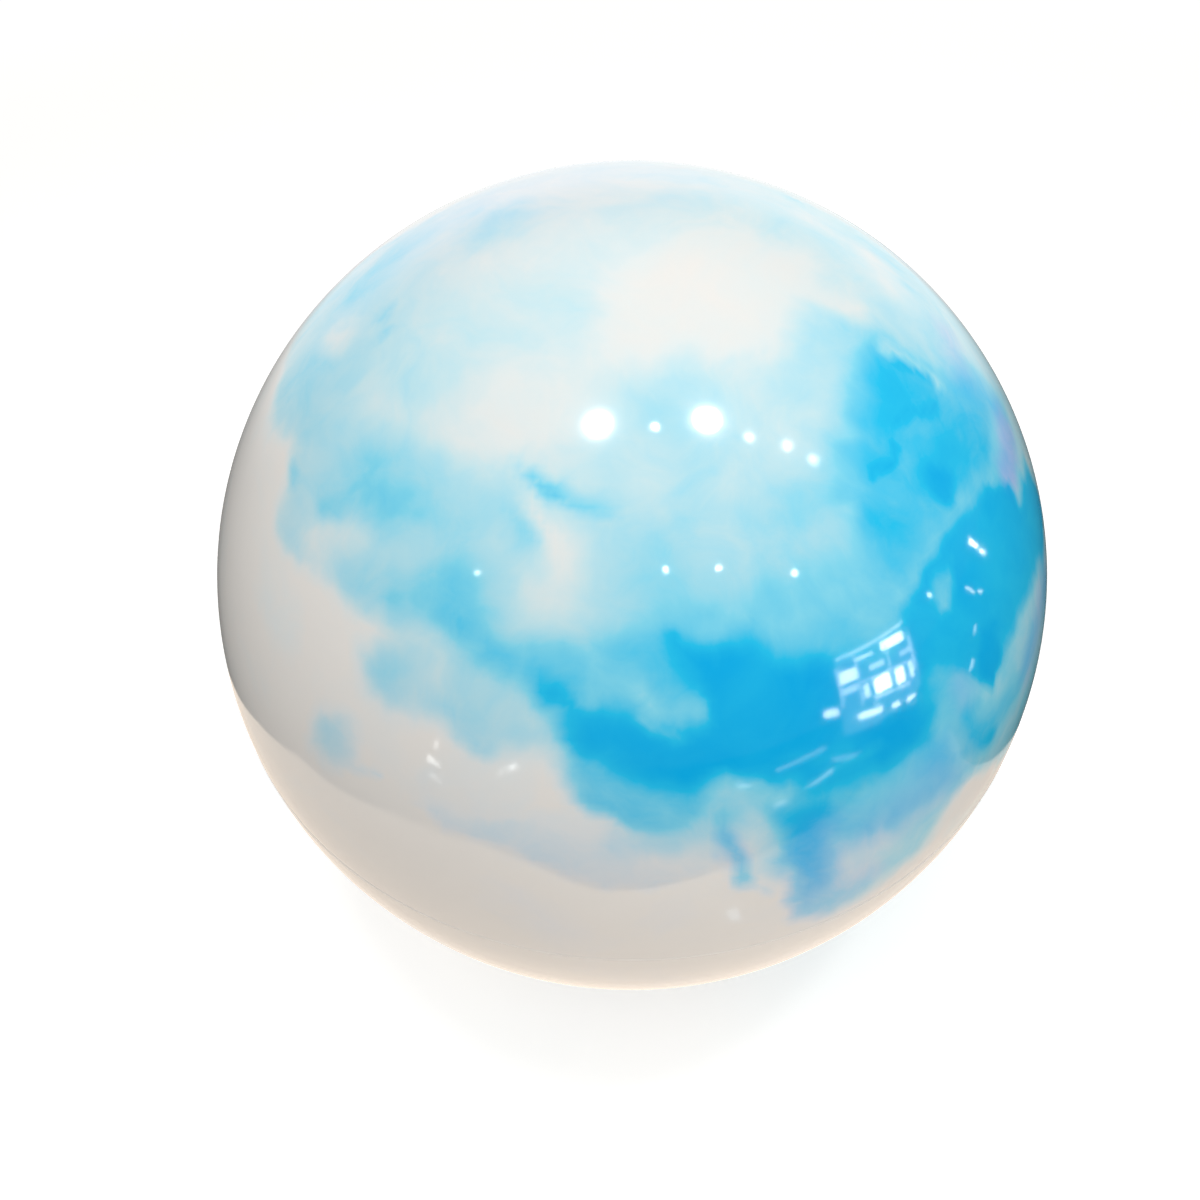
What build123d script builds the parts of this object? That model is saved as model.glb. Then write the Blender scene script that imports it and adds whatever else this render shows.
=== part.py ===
from build123d import *

import os
from math import cos, degrees, radians, sin, sqrt

# Exercise ball, 65 cm: an inflated one-piece vinyl skin, the valve seat moulded into it and the
# plug that stops the valve. Millimetres, +Z up. The origin is the middle of the flat that the
# ball rests on, and the valve looks back along +Y, a little above the ball's equator.

os.makedirs("parts", exist_ok=True)

# ---- Driving dimensions ----

# The inflated skin
ball_diameter = 650.0
skin_thickness = 0.9
foot_radius = 36.0  # the round flat that the weight presses against the floor
seam_width = 1.2  # the mould's parting line, round the equator
seam_height = 0.3

# Where the valve is
valve_elevation = 15.0  # degrees above the equator, on the +Y side

# The valve's passage and the collar that the skin grips
bore_radius = 4.4
sleeve_wall = 2.8
sleeve_margin = 1.8  # sleeve beyond the stem's tip
collar_rim = 3.2  # collar left outside the head's recess
collar_thickness = 4.0
boss_margin = 6.5  # the thickening inside the skin, outside the collar
boss_flare = 5.0
boss_floor = 1.6  # skin material under the collar
notch_width = 4.0  # round finger-nail notch beside the head
notch_reach = 1.8
lead_in = 0.4  # chamfer on both ends of the bore

# The plug and how it fits
head_radius = 9.0
head_thickness = 2.1
head_side_clearance = 0.3
head_seat_gap = 0.05
head_edge_radius = 0.4
gate_mark_radius = 1.2  # shallow dimple where the moulding gate was cut off
gate_mark_depth = 0.3
rib_clearance = 0.04
stem_length = 22.0
rib_stand = 0.86  # ribs above the shank
tip_taper = 0.9
tip_length = 4.0
rib_count = 4
rib_height = 2.2
first_rib_depth = 3.0  # below the head
core_radius = 1.6  # the moulding core's hole in the stem's inner end
core_stop = 7.0  # solid stem left under the head

# ---- Values that follow ----

ball_radius = ball_diameter / 2
centre_height = sqrt(ball_radius**2 - foot_radius**2)
cavity_radius = ball_radius - skin_thickness
cavity_foot_radius = sqrt(cavity_radius**2 - (centre_height - skin_thickness) ** 2)
seam_edge_angle = degrees(seam_width / 2 / ball_radius)

sleeve_radius = bore_radius + sleeve_wall
recess_radius = head_radius + head_side_clearance
collar_radius = recess_radius + collar_rim
boss_radius = collar_radius + boss_margin
rib_radius = bore_radius - rib_clearance
shank_radius = rib_radius - rib_stand
rib_pitch = (stem_length - tip_length - first_rib_depth) / rib_count


def surface_drop(radius):
    """How far the ball's surface has fallen below its top at this radius from the valve's axis."""
    return ball_radius - sqrt(ball_radius**2 - radius**2)


head_underside = surface_drop(head_radius) + head_thickness
recess_depth = head_underside + head_seat_gap
stem_end = head_underside + stem_length
seat_length = stem_end + sleeve_margin
collar_depth = surface_drop(collar_radius) + collar_thickness
boss_depth = collar_depth + boss_floor

valve_direction = Vector(0, cos(radians(valve_elevation)), sin(radians(valve_elevation)))
ball_centre = Vector(0, 0, centre_height)
valve_point = ball_centre + valve_direction * ball_radius
valve_axis = Axis(valve_point, valve_direction)
# Plane across the valve at the ball's surface, and the plane of its profiles, whose Y is the axis
valve_face = Plane(origin=valve_point, x_dir=(1, 0, 0), z_dir=valve_direction)
valve_section = Plane(
    origin=valve_point,
    x_dir=(1, 0, 0),
    z_dir=(0, -sin(radians(valve_elevation)), cos(radians(valve_elevation))),
)


def ball_point(radius, elevation):
    """Point of a circle about the ball's centre, in the ball's upright half section."""
    angle = radians(elevation)
    return (radius * cos(angle), centre_height + radius * sin(angle))


def surface_point(radius, below=0.0):
    """Point of the ball's surface in the valve's section, or so far below that surface."""
    return (radius, -surface_drop(radius) - below)


# ---- Ball shell: one rotationally moulded vinyl skin, closed but for the valve ----

with BuildPart() as ball_shell:
    with BuildSketch(Plane.XZ):
        with BuildLine():
            Line((0, 0), (foot_radius, 0))
            ThreePointArc(
                (foot_radius, 0),
                ball_point(ball_radius, -45),
                ball_point(ball_radius, -seam_edge_angle),
            )
            # the parting line, a low rounded ridge
            ThreePointArc(
                ball_point(ball_radius, -seam_edge_angle),
                ball_point(ball_radius + seam_height, 0),
                ball_point(ball_radius, seam_edge_angle),
            )
            ThreePointArc(
                ball_point(ball_radius, seam_edge_angle),
                ball_point(ball_radius, 45),
                ball_point(ball_radius, 90),
            )
            Line(ball_point(ball_radius, 90), (0, 0))
        make_face()
    revolve(axis=Axis.Z)

    # the air inside
    with BuildSketch(Plane.XZ):
        with BuildLine():
            Line((0, skin_thickness), (cavity_foot_radius, skin_thickness))
            ThreePointArc(
                (cavity_foot_radius, skin_thickness),
                ball_point(cavity_radius, 0),
                ball_point(cavity_radius, 90),
            )
            Line(ball_point(cavity_radius, 90), (0, skin_thickness))
        make_face()
    revolve(axis=Axis.Z, mode=Mode.SUBTRACT)

    # the boss that thickens the skin inwards round the valve
    with BuildSketch(valve_section):
        with BuildLine():
            Line((0, -skin_thickness / 2), (0, -boss_depth))
            Line((0, -boss_depth), (boss_radius, -boss_depth))
            Line(
                (boss_radius, -boss_depth),
                surface_point(boss_radius + boss_flare, skin_thickness / 2),
            )
            ThreePointArc(
                surface_point(boss_radius + boss_flare, skin_thickness / 2),
                surface_point(boss_radius / 2, skin_thickness / 2),
                (0, -skin_thickness / 2),
            )
        make_face()
    revolve(axis=valve_axis)

    # the seat that the collar and the sleeve fill
    with Locations(valve_face):
        CounterBoreHole(
            radius=sleeve_radius,
            counter_bore_radius=collar_radius,
            counter_bore_depth=collar_depth,
            depth=boss_depth + skin_thickness,
        )

ball_shell.part.label = "ball_shell"
export_step(ball_shell.part, "parts/ball_shell.step")

# ---- Valve seat: a stiffer vinyl collar and sleeve, fused into the skin ----

with BuildPart() as valve_seat:
    with BuildSketch(valve_section):
        with BuildLine():
            Polyline(
                surface_point(recess_radius),
                (recess_radius, -recess_depth),
                (bore_radius, -recess_depth),
                (bore_radius, -seat_length),
                (sleeve_radius, -seat_length),
                (sleeve_radius, -collar_depth),
                (collar_radius, -collar_depth),
                surface_point(collar_radius),
            )
            ThreePointArc(
                surface_point(collar_radius),
                surface_point((collar_radius + recess_radius) / 2),
                surface_point(recess_radius),
            )
        make_face()
    revolve(axis=valve_axis)

    # lead-in for the plug, and a softened inner end
    chamfer(
        valve_seat.edges().filter_by(GeomType.CIRCLE).group_by(SortBy.RADIUS)[0],
        length=lead_in,
    )

    # notch that lets a nail or a coin under the head
    with BuildSketch(valve_face.offset(-recess_depth)):
        with Locations((0, recess_radius + notch_reach - notch_width / 2)):
            Circle(notch_width / 2)
    extrude(amount=recess_depth, mode=Mode.SUBTRACT)

valve_seat.part.label = "valve_seat"
export_step(valve_seat.part, "parts/valve_seat.step")

# ---- Valve plug: a flat head flush with the ball and a ribbed stem that seals the bore ----

with BuildPart() as valve_plug:
    with BuildSketch(valve_section):
        with BuildLine():
            Polyline(
                surface_point(head_radius),
                (head_radius, -head_underside),
                (shank_radius, -head_underside),
                (shank_radius, -stem_end + tip_length),
                (shank_radius - tip_taper, -stem_end),
                (0, -stem_end),
                (0, 0),
            )
            ThreePointArc(
                (0, 0),
                surface_point(head_radius / 2),
                surface_point(head_radius),
            )
        make_face()
    revolve(axis=valve_axis)
    head_rings = valve_plug.edges().filter_by(GeomType.CIRCLE)
    fillet(
        head_rings.filter_by(lambda ring: abs(ring.radius - head_radius) < head_edge_radius),
        radius=head_edge_radius,
    )

    # sealing ribs, each steep towards the head and sloped towards the tip
    for rib in range(rib_count):
        rib_top = head_underside + first_rib_depth + rib * rib_pitch
        with BuildSketch(valve_section):
            with BuildLine():
                Polyline(
                    (shank_radius / 2, -rib_top),
                    (rib_radius, -rib_top),
                    (rib_radius, -rib_top - rib_height / 3),
                    (shank_radius / 2, -rib_top - rib_height),
                    close=True,
                )
            make_face()
        revolve(axis=valve_axis)

    # the moulding core's hole, and the gate mark in the middle of the head
    with BuildSketch(valve_face.offset(-stem_end)):
        Circle(core_radius)
    extrude(amount=stem_length - core_stop, mode=Mode.SUBTRACT)
    with BuildSketch(valve_face):
        Circle(gate_mark_radius)
    extrude(amount=-gate_mark_depth, mode=Mode.SUBTRACT)

valve_plug.part.label = "valve_plug"
export_step(valve_plug.part, "parts/valve_plug.step")
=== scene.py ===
from math import asin, ceil, cos, degrees, pi, radians, sin, sqrt

import bpy
import numpy as np
from mathutils import Matrix, Vector


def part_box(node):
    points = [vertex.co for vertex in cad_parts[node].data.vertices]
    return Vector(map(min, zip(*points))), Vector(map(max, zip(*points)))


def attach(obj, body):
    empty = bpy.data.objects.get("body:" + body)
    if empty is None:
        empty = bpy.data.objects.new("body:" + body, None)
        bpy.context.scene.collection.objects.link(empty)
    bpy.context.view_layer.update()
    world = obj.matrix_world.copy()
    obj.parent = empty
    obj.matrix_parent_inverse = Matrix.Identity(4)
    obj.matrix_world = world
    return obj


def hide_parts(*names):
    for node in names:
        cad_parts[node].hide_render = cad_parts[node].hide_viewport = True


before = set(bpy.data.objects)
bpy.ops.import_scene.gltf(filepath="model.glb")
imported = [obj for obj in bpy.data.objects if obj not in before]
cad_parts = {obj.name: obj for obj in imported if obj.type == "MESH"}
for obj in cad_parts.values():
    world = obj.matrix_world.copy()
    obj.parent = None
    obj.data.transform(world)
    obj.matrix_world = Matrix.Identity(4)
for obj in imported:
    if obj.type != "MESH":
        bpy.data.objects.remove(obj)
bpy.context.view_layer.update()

# ---------------------------------------------------------------------------------------------
# Skin: one hollow piece of soft vinyl, cast in a hot mould that turns, so it has no glued seam,
# only the mould's parting line round its middle, and the valve's boss is cast on its inside. Blue
# paste was swirled into the white vinyl before it set.
# ---------------------------------------------------------------------------------------------

skin_low, skin_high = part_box("ball_shell")
skin_thickness = 0.0009
parting_height = 0.0003
parting_width = 0.0012
ball_radius = (skin_high.x - skin_low.x) / 2 - parting_height
inner_radius = ball_radius - skin_thickness
ball_centre = Vector((0, 0, skin_high.z - ball_radius))

# The valve's axis, and the opening and the boss that hold its seat
valve_tilt = radians(15)
valve_way = Vector((0, cos(valve_tilt), sin(valve_tilt)))
valve_side = Vector((1, 0, 0))
way, side = np.array(valve_way), np.array(valve_side)
up = np.array(valve_way.cross(valve_side))
collar_radius = 0.0125
collar_depth = 0.00424
sleeve_radius = 0.0072
boss_radius = 0.019
boss_depth = 0.00584
boss_foot_radius = 0.024
boss_foot_margin = 0.0015
air_side_opening = 0.030
edge_round = 0.00025


def on_ball(azimuth, elevation):
    """Direction from the ball's centre, in degrees: azimuth 0 is the front, 90 the right side."""
    a, e = np.radians(azimuth), np.radians(elevation)
    return np.stack([np.cos(e) * np.sin(a), -np.cos(e) * np.cos(a), np.sin(e)], -1)


def sphere_rows(radius, row_elevations, most):
    """Rows of points round the ball, with fewer points nearer the poles."""
    rows = []
    for elevation in row_elevations:
        count = max(1, round(most * cos(radians(elevation))))
        rows.append(on_ball(np.arange(count) * 360 / count, np.full(count, elevation)) * radius)
    return rows


def zip_rows(lower, upper, lower_turn, upper_turn):
    """Triangles between two closed rows of point numbers, which need not be as many."""
    faces = []
    i = j = 0
    while i < len(lower) or j < len(upper):
        next_i = lower_turn[i + 1] if i < len(lower) else 9e9
        next_j = upper_turn[j + 1] if j < len(upper) else 9e9
        a, b = lower[i % len(lower)], upper[j % len(upper)]
        if len(upper) > 1 and (len(lower) == 1 or next_j < next_i):
            faces.append((a, upper[(j + 1) % len(upper)], b))
            j += 1
            if len(lower) == 1 and j == len(upper):
                break
        else:
            faces.append((a, lower[(i + 1) % len(lower)], b))
            i += 1
            if len(upper) == 1 and i == len(lower):
                break
    return faces


def turns(count):
    """Even shares of a full turn, from 0 to 1."""
    return [step / count for step in range(count + 1)]


def zip_sphere(rows):
    """Faces of a sphere of rows, facing outwards."""
    faces, at = [], 0
    for lower, upper in zip(rows[:-1], rows[1:]):
        low = list(range(at, at + len(lower)))
        high = list(range(at + len(lower), at + len(lower) + len(upper)))
        faces += zip_rows(low, high, turns(len(low)), turns(len(high)))
        at += len(lower)
    return faces


def opened(rows, opening):
    """A sphere of rows with a round opening at the valve: its points, faces and the opening's rim."""
    points, faces = np.concatenate(rows), np.array(zip_sphere(rows))
    from_axis = np.hypot(points @ side, points @ up)
    cut_away = (from_axis < opening) & (points @ way > 0)
    faces = faces[~cut_away[faces].any(1)]
    used = np.unique(faces)
    renumber = np.full(len(points), -1)
    renumber[used] = np.arange(len(used))
    faces = renumber[faces]
    edges = dict.fromkeys(
        (a, b) for face in faces.tolist() for a, b in zip(face, face[1:] + face[:1])
    )
    next_open = {b: a for a, b in edges if (b, a) not in edges}
    rim = [next(iter(next_open))]
    while next_open[rim[-1]] != rim[0]:
        rim.append(next_open[rim[-1]])
    return points[used], faces, rim


def about_valve(points):
    """Angles of points round the valve's axis."""
    return np.arctan2(points @ up, points @ side)


def from_least(rim, turn):
    """A rim and its turns, put in order so that the turns grow from the least."""
    start = int(np.argmin(turn))
    rim, turn = rim[start:] + rim[:start], np.roll(turn, -start)
    if turn[1] > turn[-1]:
        rim, turn = rim[:1] + rim[:0:-1], np.concatenate([turn[:1], turn[:0:-1]])
    return rim, turn


# Rows 4 mm apart, with close ones at the parting line and one on the edge of the resting flat
row_gap = 0.0041
gaps_from_parting = (0.0002, 0.0004, 0.0006, 0.0012, 0.0024)
row_step = degrees(row_gap / ball_radius)
parting_steps = [degrees(gap / ball_radius) for gap in gaps_from_parting]
first_row = parting_steps[-1] + row_step * 0.7
foot_edge = degrees(asin(ball_centre.z / ball_radius))
rows_above = [*parting_steps, *np.linspace(first_row, 90, ceil(90 / row_step))]
rows_below = [*parting_steps, *np.linspace(first_row, foot_edge, ceil(foot_edge / row_step))]
rows_below += list(np.linspace(foot_edge, 90, 9)[1:])
row_elevations = [-e for e in reversed(rows_below)] + [0.0] + rows_above

# The opening for the valve is cut a little wide, then filled with rings round the valve's axis
outer_points, outer_faces, rim = opened(
    sphere_rows(ball_radius, row_elevations, most=500), boss_foot_radius
)
rim, rim_turn = from_least(rim, about_valve(outer_points[rim]))
rim_start = rim_turn[0]


def valve_ring(radius, height, count):
    """Ring round the valve's axis, so far out from it and so far along it from the ball's centre."""
    turn = rim_start + np.arange(count) * 2 * pi / count
    flat = np.cos(turn)[:, None] * side + np.sin(turn)[:, None] * up
    return flat * radius + way * height


def at_surface(radius, below=0.0):
    """Height along the valve's axis of the ball's surface, or so far below it."""
    return sqrt(ball_radius**2 - radius**2) - below


# Radius and height of each ring, from the cut's edge in to the collar's opening, down through the
# seat's place, and out over the boss to the air side
boss_foot = boss_foot_radius + boss_foot_margin
narrowing = (0.0205, 0.018, 0.0158, 0.0140, 0.0131, collar_radius + edge_round)
passage = [(radius, at_surface(radius)) for radius in narrowing] + [
    (collar_radius + edge_round * 0.3, at_surface(collar_radius, edge_round * 0.3)),
    (collar_radius, at_surface(collar_radius, edge_round)),
    (collar_radius, ball_radius - collar_depth), (sleeve_radius, ball_radius - collar_depth),
    (sleeve_radius, ball_radius - boss_depth), (boss_radius, ball_radius - boss_depth),
    (boss_foot, sqrt(inner_radius**2 - boss_foot**2)),
]
ring_count = 120
points, faces = [outer_points], outer_faces.tolist()
at = len(outer_points)
before, before_turn = rim, list((rim_turn - rim_start) / (2 * pi)) + [1.0]
for radius, height in passage:
    ring = list(range(at, at + ring_count))
    points.append(valve_ring(radius, height, ring_count))
    faces += zip_rows(before, ring, before_turn, turns(ring_count))
    before, before_turn = ring, turns(ring_count)
    at += ring_count

# The air side, coarser, with an opening for the boss
inner_points, inner_faces, rim = opened(
    sphere_rows(inner_radius, np.linspace(-90, 90, 73), most=150), air_side_opening
)
rim, turn = from_least(rim, (about_valve(inner_points[rim]) - rim_start) % (2 * pi) / (2 * pi))
faces += zip_rows(before, [at + k for k in rim], before_turn, list(turn - turn[0]) + [1.0])
points.append(inner_points)
faces += (inner_faces[:, ::-1] + at).tolist()
points = np.concatenate(points)


def ripples(ways, fineness, seed):
    """Smooth seeded unevenness over the ball: three numbers for each direction."""
    count = 9
    draw = np.random.default_rng(seed)
    waves = draw.normal(size=(3, count, 3))
    lengths = np.linalg.norm(waves, axis=2, keepdims=True)
    waves *= fineness * draw.uniform(0.6, 1.4, (3, count, 1)) / lengths
    starts = draw.uniform(0, 2 * pi, (3, count))
    rows = [np.sin(ways @ waves[k].T + starts[k]).sum(-1) for k in range(3)]
    return np.stack(rows, -1) / np.sqrt(count / 2)


def smooth(x):
    """A soft step from 0 to 1."""
    x = np.clip(x, 0, 1)
    return x * x * (3 - 2 * x)


def off_path(ways, path):
    """Distance in degrees from each direction to a path over the ball."""
    stops = [on_ball(*stop) for stop in path]
    least = np.full(len(ways), 9.0)
    for a, b in zip(stops[:-1], stops[1:]):
        run = b - a
        along = np.clip((ways - a) @ run / max(run @ run, 1e-12), 0, 1)
        gap = ways - a - along[:, None] * run
        least = np.minimum(least, (gap * gap).sum(-1))
    return np.degrees(np.sqrt(least))


def stroke(ways, half_width, feather, path):
    """Cover of a streak: one within its half width, fading over the feather."""
    return smooth(1 - (off_path(ways, path) - half_width + feather / 2) / feather)


def pool(ways, feather, outline):
    """Cover of a closed pool: one inside its outline, fading across it."""
    outline = list(outline) + [outline[0]]
    middle = on_ball(*np.mean(outline[:-1], 0))
    east = np.cross((0, 0, 1), middle)
    east /= np.linalg.norm(east)
    north = np.cross(middle, east)
    facing, least_facing = ways @ middle, 0.05
    flat = np.stack([ways @ east, ways @ north], -1) / np.maximum(facing, least_facing)[:, None]
    corners = [on_ball(*stop) for stop in outline]
    depths = np.array([c @ middle for c in corners])
    corners = np.array([(c @ east, c @ north) for c in corners]) / depths[:, None]
    inside = np.zeros(len(ways), bool)
    for (x1, y1), (x2, y2) in zip(corners[:-1], corners[1:]):
        crosses = (y1 > flat[:, 1]) != (y2 > flat[:, 1])
        at = (x2 - x1) * (flat[:, 1] - y1) / (y2 - y1 if y2 != y1 else 1e-9) + x1
        inside ^= crosses & (flat[:, 0] < at)
    gap = off_path(ways, outline)
    gap = np.where(inside & (facing > least_facing), gap, -gap)
    return smooth(gap / feather + 0.5)


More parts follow.
